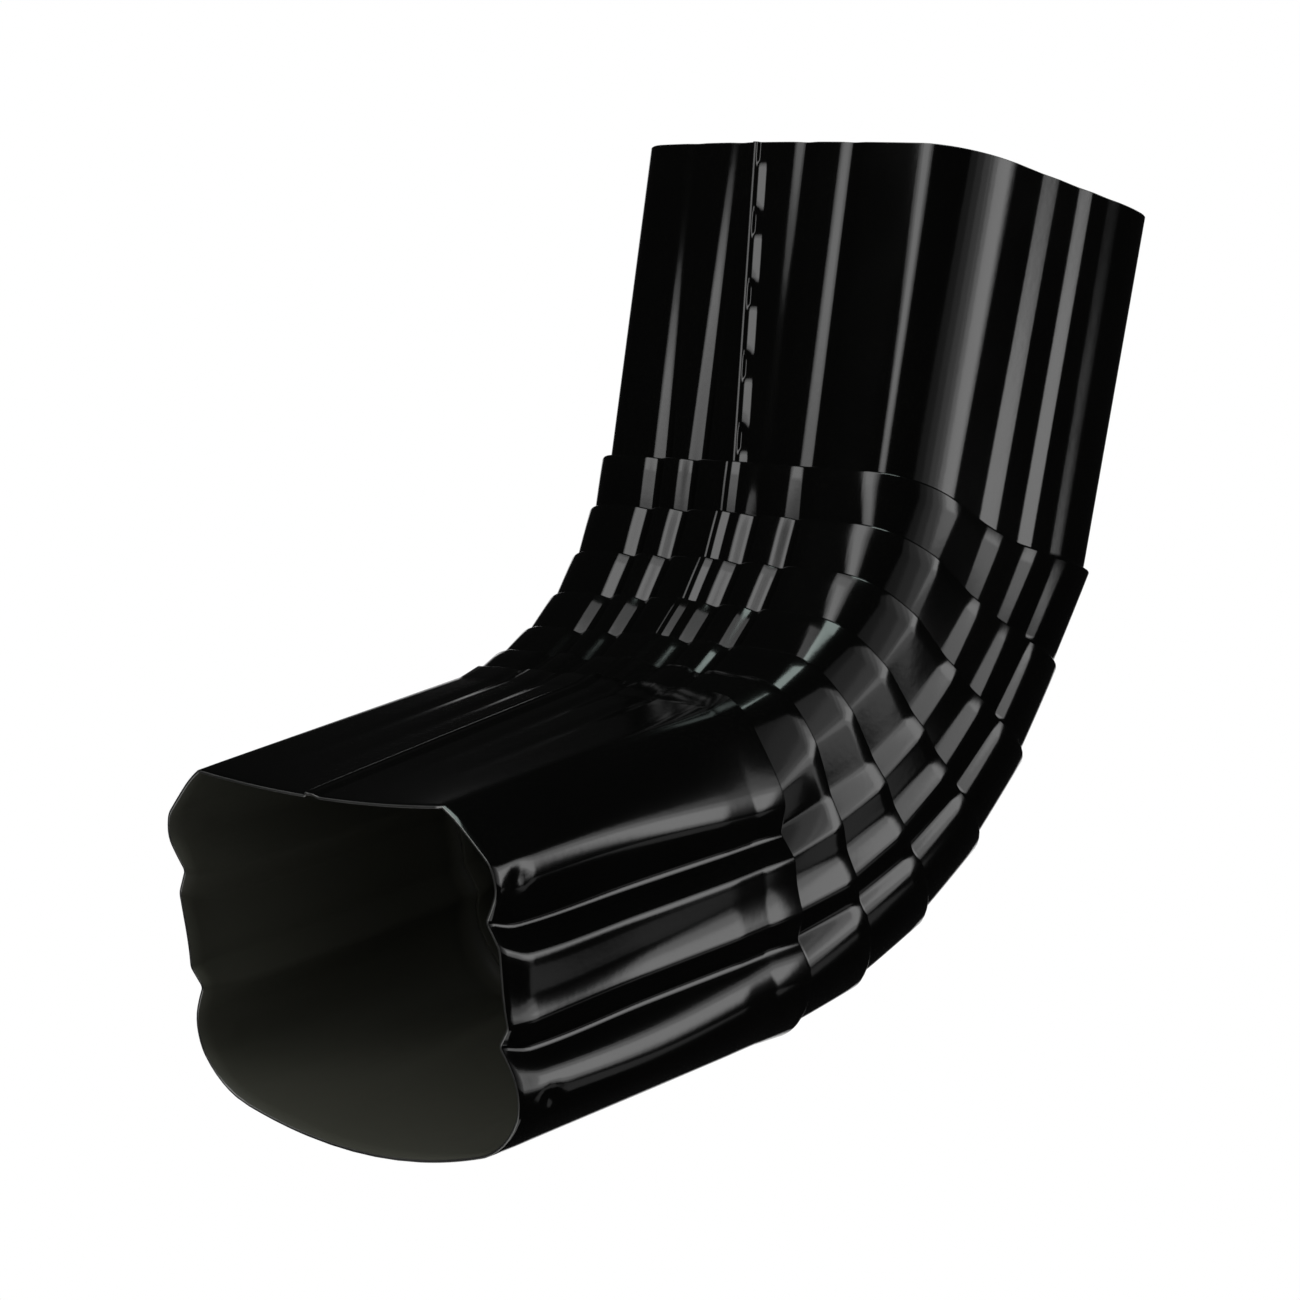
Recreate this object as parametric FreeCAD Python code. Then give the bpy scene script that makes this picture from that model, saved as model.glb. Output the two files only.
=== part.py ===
"""Corrugated sheet-metal downspout elbow, one folded sheet, all sizes in millimetres.

The inlet leg stands upright with the middle of its rim at the origin. The tube runs down,
turns about an axis parallel to Y and leaves through the outlet leg towards +X and downwards.
The inside of the bend is called the throat, its outside the heel, the other two sides the
flanks. Every ring of the shell has its corners in the same order, so that the rings join into one
skin: down the outside, round the outlet rim, up the inside and round the inlet rim.
"""
import FreeCAD, Part
import math
import os

# Sheet and bend
SHEET = 0.5
BEND_DEG = 67.7
THROAT_RADIUS = 46.5
INLET_LEG = 61.7
OUTLET_LEG = 65.8
LEG_START_PLACE = 0.09

# Section sizes over everything but the seam, and the size of the rounded corners
WIDTH_INLET, WIDTH_BEND, WIDTH_MOUTH = 83.4, 81.8, 81.0
DEPTH_INLET, DEPTH_BEND, DEPTH_MOUTH = 62.5, 61.5, 60.0
CORNER_WIDE = 10.5
CORNER_DEEP_INLET, CORNER_DEEP_BEND, CORNER_DEEP_MOUTH = 15.5, 14.0, 12.0
CORNER_POWER_INLET, CORNER_POWER_BEND, CORNER_POWER_MOUTH = 2.0, 1.7, 1.4
HEEL_CORNER_DEEP, HEEL_CORNER_POWER = 10.0, 1.4

# Grooves in the flanks: place below the throat face, and the crown of the lobes between them
FLANK_GROOVE_INLET = (22.0, 41.5)
FLANK_GROOVE_BEND = (21.5, 41.0)
FLANK_GROOVE_LEG = (24.5, 42.5)
FLANK_GROOVE_MOUTH = (18.3, 38.8)
FLANK_GROOVE_WIDTH = 8.5
FLANK_DEPTH_INLET, FLANK_DEPTH_BEND, FLANK_DEPTH_MOUTH = 1.4, 2.1, 3.0
FLANK_TAPER = 1.5
LOBE_CROWN = 0.45

# Grooves in the wide faces: place from the middle
THROAT_GROOVE_INLET = (-21.9, -10.4, 5.7, 16.6)
THROAT_GROOVE_BEND = (-19.6, -10.6, 7.1, 16.8)
THROAT_GROOVE_WIDTH = 5.4
THROAT_DEPTH_INLET, THROAT_DEPTH_BEND, THROAT_DEPTH_SWAGE = 0.9, 1.3, 0.4
HEEL_GROOVE = (-20.0, 20.0)
HEEL_GROOVE_WIDTH = 11.0
HEEL_DEPTH_INLET, HEEL_DEPTH_BEND, HEEL_DEPTH_SWAGE = 1.5, 2.4, 0.6
BOTTOM_ROUND = 0.15
SHOULDER_ROUND = 0.15
SWAGE_PLACE = 0.5
THROAT_CROWN_INLET, THROAT_CROWN_BEND, THROAT_CROWN_MOUTH = 1.5, 0.8, -1.6
HEEL_CROWN_INLET, HEEL_CROWN_BEND, HEEL_CROWN_MOUTH = 1.5, 1.0, 4.4

# Lock seam down the throat face, a little off its middle
SEAM_PLACE_INLET, SEAM_PLACE_BEND, SEAM_PLACE_MOUTH = -5.8, -0.5, -2.1
SEAM_WIDTH = 3.0
SEAM_HEIGHT = 0.9
SEAM_HEIGHT_MOUTH = 0.5
SEAM_SLOPE = 0.2

# Pleats: seven crimps, each a Z fold that is deep at the throat and ends at the heel
CRIMP_COUNT = 7
CRIMP_STEP_DEG = 10.3
FOLD_THROAT = 5.5
FOLD_HEEL = 1.1
FOLD_GAP = 0.4
LIP_PROUD = 0.9
FLAP_DEG = 13.5
THROAT_LEAD = 5.0
LEAD_START = 0.45


def v(x, y, z):
    return FreeCAD.Vector(x, y, z)


def mix(a, b, part):
    return a + (b - a) * part


def groove(s, middle, width):
    """A V groove with rounded bottom and shoulders: near 1 at its middle, near 0 outside."""
    u = (s - middle) / (width / 2)
    rise = 1 - math.sqrt(u * u + BOTTOM_ROUND ** 2)
    return 0.5 * (rise + math.sqrt(rise * rise + SHOULDER_ROUND ** 2))


def ridge(s, middle, width):
    """A flat-topped ridge with short sloping sides."""
    slope = width * SEAM_SLOPE
    return max(0.0, min(1.0, (width / 2 + slope / 2 - abs(s - middle)) / slope))


class Section:
    """One cross-section in (t, y): t towards the throat, y across the wide faces."""

    def __init__(self, width, depth, corner_deep, corner_power, flank, flank_depth, grooves,
                 throat_depth, heel_depth, throat_crown, heel_crown, seam_place, seam_height):
        self.width, self.depth = width, depth
        self.corner_deep, self.corner_power = corner_deep, corner_power
        self.flank, self.flank_depth = flank, flank_depth
        self.grooves = grooves
        self.throat_depth, self.heel_depth = throat_depth, heel_depth
        self.throat_crown, self.heel_crown = throat_crown, heel_crown
        self.seam_place, self.seam_height = seam_place, seam_height

    def towards(self, other, part):
        """The section a part of the way to another one."""
        mixed = Section.__new__(Section)
        for name, value in vars(self).items():
            goal = vars(other)[name]
            if isinstance(value, tuple):
                setattr(mixed, name, tuple(mix(a, b, part) for a, b in zip(value, goal)))
            else:
                setattr(mixed, name, mix(value, goal, part))
        return mixed

    def reach(self):
        """Half of a wide face, up to its rounded corner."""
        return self.width / 2 - CORNER_WIDE

    def arch(self, y, crown):
        return crown * (1 - (y / self.reach()) ** 2)

    def throat_rise(self, y):
        """Height of the throat face over its edges: crown, grooves and lock seam."""
        cut = sum(groove(y, place, THROAT_GROOVE_WIDTH) for place in self.grooves)
        seam = self.seam_height * ridge(y, self.seam_place, SEAM_WIDTH)
        return self.arch(y, self.throat_crown) - self.throat_depth * cut + seam

    def heel_rise(self, y):
        """Height of the heel face over its edges."""
        cut = sum(groove(y, place, HEEL_GROOVE_WIDTH) for place in HEEL_GROOVE)
        return self.arch(y, self.heel_crown) - self.heel_depth * cut

    def lobe(self, d):
        """Crown of the lobes under the two flank grooves at depth d from the throat face."""
        stops = self.flank + (self.depth - HEEL_CORNER_DEEP,)
        rise = 0.0
        for low, high in zip(stops[:-1], stops[1:]):
            u = (2 * d - low - high) / (high - low)
            rise += LOBE_CROWN * max(0.0, 1 - u * u)
        return rise

    def flank_y(self, d):
        """Distance of a flank from the middle at depth d from the throat face."""
        cut = sum(groove(d, place, FLANK_GROOVE_WIDTH) for place in self.flank)
        straight = self.width / 2 - FLANK_TAPER * d / self.depth
        return straight + self.lobe(d) - cut * self.flank_depth


INLET = Section(WIDTH_INLET, DEPTH_INLET, CORNER_DEEP_INLET, CORNER_POWER_INLET,
                FLANK_GROOVE_INLET, FLANK_DEPTH_INLET,
                THROAT_GROOVE_INLET, THROAT_DEPTH_INLET, HEEL_DEPTH_INLET,
                THROAT_CROWN_INLET, HEEL_CROWN_INLET, SEAM_PLACE_INLET, SEAM_HEIGHT)
BEND = Section(WIDTH_BEND, DEPTH_BEND, CORNER_DEEP_BEND, CORNER_POWER_BEND,
               FLANK_GROOVE_BEND, FLANK_DEPTH_BEND,
               THROAT_GROOVE_BEND, THROAT_DEPTH_BEND, HEEL_DEPTH_BEND,
               THROAT_CROWN_BEND, HEEL_CROWN_BEND, SEAM_PLACE_BEND, SEAM_HEIGHT)
LEG = Section(WIDTH_BEND, DEPTH_BEND, CORNER_DEEP_BEND, CORNER_POWER_BEND,
              FLANK_GROOVE_LEG, FLANK_DEPTH_BEND,
              THROAT_GROOVE_BEND, THROAT_DEPTH_BEND, HEEL_DEPTH_BEND,
              THROAT_CROWN_BEND, HEEL_CROWN_BEND, SEAM_PLACE_BEND, SEAM_HEIGHT)
MOUTH = Section(WIDTH_MOUTH, DEPTH_MOUTH, CORNER_DEEP_MOUTH, CORNER_POWER_MOUTH,
                FLANK_GROOVE_MOUTH, FLANK_DEPTH_MOUTH,
                THROAT_GROOVE_BEND, 0.0, 0.0,
                THROAT_CROWN_MOUTH, HEEL_CROWN_MOUTH, SEAM_PLACE_MOUTH, SEAM_HEIGHT_MOUTH)

SWAGE = LEG.towards(MOUTH, SWAGE_PLACE)
SWAGE.throat_depth, SWAGE.heel_depth = THROAT_DEPTH_SWAGE, HEEL_DEPTH_SWAGE

# Where a groove's bend lines lie, in parts of its width, and the turns of a rounded corner
SPREAD = (-0.5, -0.07, 0.07, 0.5)
CORNER_TURNS = (0.2, 0.4, 0.6, 0.8)
SEAM_LINES = (-0.6, -0.4, 0.4, 0.6)
HEEL_LINES = (-0.5, 0.0, 0.5)


def lines(middle, width, spread):
    return [middle + k * width for k in spread]


def corner(section, side, throat):
    """One rounded corner, from the wide face to the flank, as (t, y, out_t, out_y)."""
    deep = section.corner_deep if throat else HEEL_CORNER_DEEP
    power = section.corner_power if throat else HEEL_CORNER_POWER
    y_flank = section.flank_y(deep if throat else section.depth - deep)
    y_face = section.width / 2 - CORNER_WIDE
    sign = 1 if throat else -1
    points = []
    for turn in CORNER_TURNS:
        c, s = math.cos(turn * math.pi / 2), math.sin(turn * math.pi / 2)
        t = section.depth / 2 - deep * (1 - c ** (2 / power))
        y = y_face + (y_flank - y_face) * s ** (2 / power)
        points.append((sign * t, side * y, sign * c, side * s))
    return points


def throat_side(section):
    """Throat face from -y to +y, with its grooves and the lock seam."""
    reach = section.reach()
    seam = lines(section.seam_place, SEAM_WIDTH, SEAM_LINES)
    grooves = [lines(place, THROAT_GROOVE_WIDTH, SPREAD) for place in section.grooves]
    places = [-reach] + grooves[0] + grooves[1] + seam + grooves[2] + grooves[3] + [reach]
    return [(section.depth / 2 + section.throat_rise(y), y, 1.0, 0.0) for y in places]


def heel_side(section):
    """Heel face from +y to -y, with its grooves."""
    reach = section.reach()
    far, near = [lines(place, HEEL_GROOVE_WIDTH, SPREAD) for place in HEEL_GROOVE]
    places = [-reach] + far + lines(0.0, HEEL_GROOVE_WIDTH, HEEL_LINES) + near + [reach]
    return [(-section.depth / 2 - section.heel_rise(y), y, -1.0, 0.0)
            for y in reversed(places)]


def flank_side(section, side):
    """A flank from the throat corner to the heel corner, with two grooves."""
    upper, lower = section.flank
    end = section.depth - HEEL_CORNER_DEEP
    places = [section.corner_deep] + lines(upper, FLANK_GROOVE_WIDTH, SPREAD)
    places += [mix(upper, lower, 0.5)] + lines(lower, FLANK_GROOVE_WIDTH, SPREAD) + [end]
    return [(section.depth / 2 - d, side * section.flank_y(d), 0.0, side) for d in places]


def outline(section):
    """The closed section once round, from the -y end of the throat face."""
    near, far = 1.0, -1.0
    points = throat_side(section)
    points += corner(section, near, True) + flank_side(section, near)
    points += corner(section, near, False)[::-1]
    points += heel_side(section) + corner(section, far, False)
    points += flank_side(section, far)[::-1] + corner(section, far, True)[::-1]
    return points


class Frame:
    """A plane across the path: its middle, the way to the throat, and the way downstream."""

    def __init__(self, middle, throat, along):
        self.middle, self.throat, self.along = middle, throat, along

    def point(self, t, y, a):
        return self.middle + self.throat * t + v(0, 1, 0) * y + self.along * a


def bend_frame(degrees):
    """Frame at an angle round the bend, 0 where the inlet leg ends."""
    radius = THROAT_RADIUS + DEPTH_BEND / 2
    angle = math.radians(degrees)
    c, s = math.cos(angle), math.sin(angle)
    return Frame(v(radius * (1 - c), 0, -INLET_LEG - radius * s), v(c, 0, s), v(s, 0, -c))


def inlet_frame():
    return Frame(v(0, 0, 0), v(1, 0, 0), v(0, 0, -1))


def outlet_frame(part):
    """Frame a part of the way along the outlet leg."""
    end = bend_frame(BEND_DEG)
    return Frame(end.middle + end.along * OUTLET_LEG * part, end.throat, end.along)


def mitre(before, here, after):
    """Step at a corner that moves both of its sides out by 1."""
    sides = []
    for p, q in ((before, here), (here, after)):
        size = math.dist(p[:2], q[:2])
        sides.append(((q[1] - p[1]) / size, (p[0] - q[0]) / size))
    (t1, y1), (t2, y2) = sides
    stretch = 1 / (1 + t1 * t2 + y1 * y2)
    return (t1 + t2) * stretch, (y1 + y2) * stretch


def nothing(f):
    return 0.0


def ring(frame, section, layer=0.0, shift=nothing, ahead=nothing):
    """One closed ring of the skin.

    layer moves it square to the sheet, shift moves whole sides outwards, and ahead moves it
    downstream. The last two are functions of f, which is 0 at the heel and 1 at the throat.
    """
    points = outline(section)
    after = points[1:] + points[:1]
    placed = []
    for i, (t, y, out_t, out_y) in enumerate(points):
        f = min(1.0, max(0.0, t / section.depth + 0.5))
        step_t, step_y = mitre(points[i - 1], points[i], after[i])
        t_new = t + layer * step_t + shift(f) * out_t
        y_new = y + layer * step_y + shift(f) * out_y
        placed.append(frame.point(t_new, y_new, ahead(f)))
    return Part.makePolygon(placed + placed[:1])


def smooth(x):
    x = min(1.0, max(0.0, x))
    return x * x * (3 - 2 * x)


def fold(index):
    """Outer and inner rings of one crimp, each list in downstream order.

    The upper band runs on inside the lower one, turns back at the tip of the fold, and turns
    again at the lip. Outside, the skin goes in to the tip and back out round the lip.
    """
    degrees = BEND_DEG / 2 + (index - (CRIMP_COUNT - 1) / 2) * CRIMP_STEP_DEG
    frame = bend_frame(degrees)
    lead = THROAT_LEAD * max(0.0, 1 - index / (CRIMP_COUNT // 2 + 1))
    tuck = LIP_PROUD - FOLD_GAP - 2 * SHEET

    def lip(f):
        return -lead * smooth((f - LEAD_START) / (1 - LEAD_START))

    def tip(f):
        return lip(f) + mix(FOLD_HEEL, FOLD_THROAT, f)

    def sunk(f):
        return tuck - mix(FOLD_HEEL, FOLD_THROAT, f) * math.tan(math.radians(FLAP_DEG * f))

    outer = [
        ring(frame, BEND, 0.0, sunk, lambda f: tip(f) - SHEET),
        ring(frame, BEND, 0.0, lambda f: tuck + FOLD_GAP, lip),
        ring(frame, BEND, 0.0, lambda f: LIP_PROUD, lip),
    ]
    inner = [
        ring(frame, BEND, -SHEET, sunk, tip),
        ring(frame, BEND, 0.0, lambda f: sunk(f) + SHEET, tip),
        ring(frame, BEND, -SHEET, lambda f: LIP_PROUD, lambda f: lip(f) + SHEET),
    ]
    return outer, inner


def skin():
    """All rings: down the outside from the inlet rim, then up the inside."""
    outside, inside = [ring(inlet_frame(), INLET)], [ring(inlet_frame(), INLET, -SHEET)]
    for index in range(CRIMP_COUNT):
        outer, inner = fold(index)
        outside += outer
        inside += inner
    legs = ((LEG_START_PLACE, LEG), (SWAGE_PLACE, SWAGE), (1.0, MOUTH))
    for part, section in legs:
        outside.append(ring(outlet_frame(part), section))
        inside.append(ring(outlet_frame(part), section, -SHEET))
    return outside + inside[::-1]


def elbow():
    loft = Part.makeLoft(skin(), True, True, True)
    solid = Part.makeSolid(loft.Shells[0])
    if solid.Volume < 0:
        solid.reverse()
    return solid


def main():
    os.makedirs("parts", exist_ok=True)
    shape = elbow()
    shape.exportStep("parts/elbow.step")
    box = shape.BoundBox
    print("elbow", shape.ShapeType, "valid", shape.isValid(), "volume", round(shape.Volume),
          "box", [round(b, 1) for b in (box.XMin, box.YMin, box.ZMin, box.XMax, box.YMax, box.ZMax)])


main()
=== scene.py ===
"""Corrugated sheet-metal downspout elbow in glossy black paint: dressed model, studio, camera.

The solid of the frame is replaced by one closed sheet of high resolution that follows the
same sections, pleats and grooves, with rounded folded lips, a stitched lock seam, pressed
dimples, thin cut rims and painted sides. All lengths in the classes are millimetres until a
mesh is made.
"""
import logging
import math
from dataclasses import dataclass, replace
from enum import Enum

import bpy
import numpy as np
from mathutils import Matrix

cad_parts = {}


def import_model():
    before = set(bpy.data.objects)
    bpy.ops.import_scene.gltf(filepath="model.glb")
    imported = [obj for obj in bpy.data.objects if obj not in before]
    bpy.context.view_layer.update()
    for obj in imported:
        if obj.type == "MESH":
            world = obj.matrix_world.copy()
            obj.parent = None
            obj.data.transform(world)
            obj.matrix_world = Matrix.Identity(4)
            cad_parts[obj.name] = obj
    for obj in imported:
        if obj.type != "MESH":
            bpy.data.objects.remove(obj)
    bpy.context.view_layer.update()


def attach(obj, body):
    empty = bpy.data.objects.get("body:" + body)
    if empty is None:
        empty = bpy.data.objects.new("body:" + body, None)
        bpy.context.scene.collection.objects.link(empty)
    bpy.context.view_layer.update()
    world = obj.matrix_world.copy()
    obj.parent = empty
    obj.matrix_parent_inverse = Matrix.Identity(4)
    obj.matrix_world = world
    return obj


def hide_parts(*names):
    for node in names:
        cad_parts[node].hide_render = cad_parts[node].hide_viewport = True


LOG = logging.getLogger("elbow")
MM = 0.001

# How round a groove is, over half its width, and what a white soft box takes per square metre
GROOVE_ROUND = 0.15
BOX_WATTS = 4.0


@dataclass(frozen=True)
class Section:
    """One cross-section of the tube.

    Args:
        width: size across the wide faces.
        depth: size from throat to heel.
        crowns: rise of the throat and heel faces' middle over their edges.
        seam: place of the lock seam across the throat face, and its height.
        throat: places of the four throat grooves from the middle.
        cuts: depths of the four throat grooves and of the heel face's grooves.
        lengths: lengths of the arcs that make up a side, from throat face to heel face.
        tilts: tilt of the side towards the throat in degrees, at its start and after each arc.
    """

    width: float
    depth: float
    crowns: tuple[float, float]
    seam: tuple[float, float]
    throat: tuple[float, float, float, float]
    cuts: tuple[float, float, float, float, float]
    lengths: tuple[float, ...]
    tilts: tuple[float, ...]

    def row(self) -> np.ndarray:
        """All sizes as one array, so that sections can be mixed."""
        values = ((self.width, self.depth), self.crowns, self.seam, self.throat, self.cuts,
                  self.lengths, self.tilts)
        return np.concatenate(values)


class Size(Enum):
    """Which columns of a section's row hold which of its sizes."""

    WIDTH = slice(0, 1)
    DEPTH = slice(1, 2)
    THROAT_CROWN = slice(2, 3)
    HEEL_CROWN = slice(3, 4)
    SEAM_PLACE = slice(4, 5)
    SEAM_HEIGHT = slice(5, 6)
    THROAT_PLACES = slice(6, 10)
    THROAT_CUTS = slice(10, 14)
    HEEL_CUT = slice(14, 15)
    LENGTHS = slice(15, 36)
    TILTS = slice(36, 58)

    def of(self, rows: np.ndarray) -> np.ndarray:
        """These columns of the rows of many sections."""
        return rows[:, self.value]


@dataclass(frozen=True)
class Ring:
    """One closed ring of the sheet.

    Args:
        degrees: angle round the bend, 0 where the inlet leg ends.
        leg: distance downstream from that place, negative on the inlet leg.
        section: the sizes of the section.
        layer: distance square to the sheet.
        lip: share of the pleat's curved lip line that moves the ring downstream.
        deep: share of the pleat's overlap that moves it downstream.
        ahead: plain distance downstream.
        proud: distance by which whole sides stand out.
        sink: share of the pleat's slope by which whole sides go in.
        lead: how far the lip line runs upstream at the throat.
        inner: 1 on the inside of the tube, 0 outside.
        cut: 1 on the sheet's cut edge.
        steps: how many rows the sheet has from the ring before to this one.
        shares: where those rows lie from 0 to 1, evenly if empty.
        bulge: how far the middle of those rows stands out.
    """

    degrees: float
    leg: float
    section: np.ndarray
    layer: float = 0.0
    lip: float = 0.0
    deep: float = 0.0
    ahead: float = 0.0
    proud: float = 0.0
    sink: float = 0.0
    lead: float = 0.0
    inner: float = 0.0
    cut: float = 0.0
    steps: int = 1
    shares: tuple[float, ...] = ()
    bulge: float = 0.0


def groove(y: np.ndarray, middle: np.ndarray | float, width: float) -> np.ndarray:
    """V groove with bottom and shoulders rounded by r = GROOVE_ROUND.

    With u = (y - middle) / (width / 2) and x = 1 - sqrt(u^2 + r^2) its depth share is
    (x + sqrt(x^2 + r^2)) / 2.

    Args:
        y: places across the face.
        middle: the groove's middle.
        width: its whole width.

    Returns:
        near 1 at the middle, near 0 from half a width on.
    """
    u = (y - middle) / (width / 2)
    x = 1 - np.sqrt(u * u + GROOVE_ROUND ** 2)
    return (x + np.sqrt(x * x + GROOVE_ROUND ** 2)) / 2


def smooth(x: np.ndarray) -> np.ndarray:
    """Smooth step 3x^2 - 2x^3 between 0 and 1."""
    x = np.clip(x, 0.0, 1.0)
    return x * x * (3 - 2 * x)


@dataclass(frozen=True)
class Outline:
    """How a section's sizes become a closed line of points.

    Args:
        corner_wide: a corner's size along a wide face.
        counts: how many points each arc of a side gets.
        throat_counts: how many points each stretch of the throat face gets.
        heel_counts: the same for the heel face.
        throat_width: width of a groove in the throat face.
        heel_place: places of the heel face's grooves, the same on both sides.
        heel_width: width of such a groove.
        seam_up: where the lock seam's steep step begins, from the seam's middle.
        seam_step: width of that step.
        seam_bead: where its bead's slope begins and ends.
        seam_fall: where its long slope begins and ends.
        bead: share of its height that the bead takes.
        seam_stops: a stop before its close points, and where these begin and end.
        press_from: where the part that the stitches press begins.
        press_over: the width over which it does.
        groove_rows: share of a groove's width over which its close points spread to each side.
        corner_turn: how fast a corner turns to face the side, over that of its run outwards.
    """

    corner_wide: float = 10.5
    counts: tuple[int, ...] = (4, 5, 4, 6, 4, 3, 4, 4, 4, 3, 4, 3, 4, 3, 4, 4, 3, 3, 4, 5, 6)
    throat_counts: tuple[int, ...] = (5, 12, 4, 12, 4, 24, 5, 12, 4, 12, 6)
    heel_counts: tuple[int, ...] = (3, 10, 5, 10, 3)
    throat_width: float = 5.4
    heel_place: float = 20.0
    heel_width: float = 11.0
    seam_up: float = -1.4
    seam_step: float = 0.5
    seam_bead: tuple[float, float] = (-0.6, -0.2)
    seam_fall: tuple[float, float] = (0.8, 2.4)
    bead: float = 0.2
    seam_stops: tuple[float, float, float] = (-2.2, -1.8, 2.6)
    press_from: float = 0.1
    press_over: float = 0.4
    groove_rows: float = 0.56
    corner_turn: float = 1.3

    def spread(self, stops: list[np.ndarray], counts: tuple[int, ...]) -> np.ndarray:
        """Places from stop to stop, evenly spaced in between, the last stop left out.

        Args:
            stops: columns with one stop of every section.
            counts: number of places from each stop to the next.

        Returns:
            one row of places for every section.
        """
        parts = [a + (b - a) * np.arange(n)[None, :] / n
                 for a, b, n in zip(stops[:-1], stops[1:], counts)]
        return np.concatenate(parts, axis=1)

    def seam(self, y: np.ndarray, place: np.ndarray) -> np.ndarray:
        """Ridge of the lock seam: a steep step up, a small bead and a long slope back down.

        With u = y - place it is smooth((u - up) / step) less bead x fall(bead slope) less
        (1 - bead) x fall(long slope), where fall goes straight from 0 to 1 over its stretch.

        Args:
            y: places across the throat face.
            place: the seam's middle in every section.

        Returns:
            the share of the seam's height at every place.
        """
        u = y - place
        low, high = self.seam_bead
        start, end = self.seam_fall
        bead = np.clip((u - low) / (high - low), 0.0, 1.0)
        fall = np.clip((u - start) / (end - start), 0.0, 1.0)
        return (smooth((u - self.seam_up) / self.seam_step) - self.bead * bead
                - (1 - self.bead) * fall)

    def pressed(self, y: np.ndarray, place: np.ndarray) -> np.ndarray:
        """Part of the seam that the stitches press flat: its ridge from the middle on."""
        return self.seam(y, place) * smooth((y - place - self.press_from) / self.press_over)

    def throat(self, y: np.ndarray, s: np.ndarray) -> np.ndarray:
        """Rise of the throat face: crown (1 - (y / reach)^2) less its four grooves.

        Args:
            y: places across the face.
            s: sections, one row of sizes each.

        Returns:
            the rise at every place.
        """
        reach = Size.WIDTH.of(s) / 2 - self.corner_wide
        grooves = zip(Size.THROAT_PLACES.of(s).T, Size.THROAT_CUTS.of(s).T)
        cut = sum(depth[:, None] * groove(y, middle[:, None], self.throat_width)
                  for middle, depth in grooves)
        return Size.THROAT_CROWN.of(s) * (1 - (y / reach) ** 2) - cut

    def heel(self, y: np.ndarray, s: np.ndarray) -> np.ndarray:
        """Rise of the heel face: crown (1 - (y / reach)^2) less its two grooves.

        Args:
            y: places across the face.
            s: sections, one row of sizes each.

        Returns:
            the rise at every place.
        """
        reach = Size.WIDTH.of(s) / 2 - self.corner_wide
        cut = groove(y, self.heel_place, self.heel_width)
        cut = cut + groove(y, -self.heel_place, self.heel_width)
        return Size.HEEL_CROWN.of(s) * (1 - (y / reach) ** 2) - Size.HEEL_CUT.of(s) * cut

    def side(self, s: np.ndarray) -> tuple[np.ndarray, ...]:
        """Points of one side, from the throat face's edge to the heel face's edge.

        The side is a chain of arcs. Over a step of length l at tilt a it goes l cos a down
        from the throat and l sin a outwards. The whole is then scaled to the section's depth
        and width, and sheared so that both of its ends have the same distance outwards.

        Args:
            s: sections, one row of sizes each.

        Returns:
            t, y and every point's share of facing the throat, or less than 0 for the heel.
        """
        width, depth = Size.WIDTH.of(s), Size.DEPTH.of(s)
        tilts = np.radians(Size.TILTS.of(s))
        part = [(tilts[:, k:k + 1] + (tilts[:, k + 1:k + 2] - tilts[:, k:k + 1])
                 * (np.arange(n)[None, :] + 0.5) / n) for k, n in enumerate(self.counts)]
        tilt = np.concatenate(part, axis=1)
        step = np.repeat(Size.LENGTHS.of(s) / np.array(self.counts), self.counts, axis=1)
        down = np.cumsum(step * np.cos(tilt), axis=1)
        out = np.cumsum(step * np.sin(tilt), axis=1)
        down *= depth / down[:, -1:]
        out -= out[:, -1:] * down / depth
        out *= self.corner_wide / out.max(axis=1, keepdims=True)
        down, out = down[:, :-1], out[:, :-1]
        turned = np.clip(1 - out / self.corner_wide * self.corner_turn, 0.0, 1.0)
        face = turned * np.sign(0.5 - down / depth)
        return depth / 2 - down, width / 2 - self.corner_wide + out, face

    def points(self, s: np.ndarray) -> dict[str, np.ndarray]:
        """The closed lines of many sections at once.

        Going round: throat face from -y to +y, near side, heel face back to -y, far side.

        Args:
            s: sections, one row of sizes each.

        Returns:
            arrays of rows by points: t, y, the side's outward way, and the seam's pressed part.
        """
        reach = Size.WIDTH.of(s) / 2 - self.corner_wide
        half, seam_height = Size.DEPTH.of(s) / 2, Size.SEAM_HEIGHT.of(s)
        lines = {"t": [], "y": [], "out_t": [], "out_y": [], "seam": []}
        none = np.zeros((1, 1))

        def add(t: np.ndarray, y: np.ndarray, out_t: np.ndarray, out_y: np.ndarray,
                seam: np.ndarray) -> None:
            """Append one side, every part spread to the same shape.

            Args:
                t: places from heel to throat.
                y: places across.
                out_t: the side's outward way along t.
                out_y: the same along y.
                seam: the seam's pressed part.
            """
            shape = np.broadcast_shapes(t.shape, y.shape)
            for name, part in zip(lines, (t, y, out_t, out_y, seam)):
                lines[name].append(np.broadcast_to(part, shape))

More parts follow.
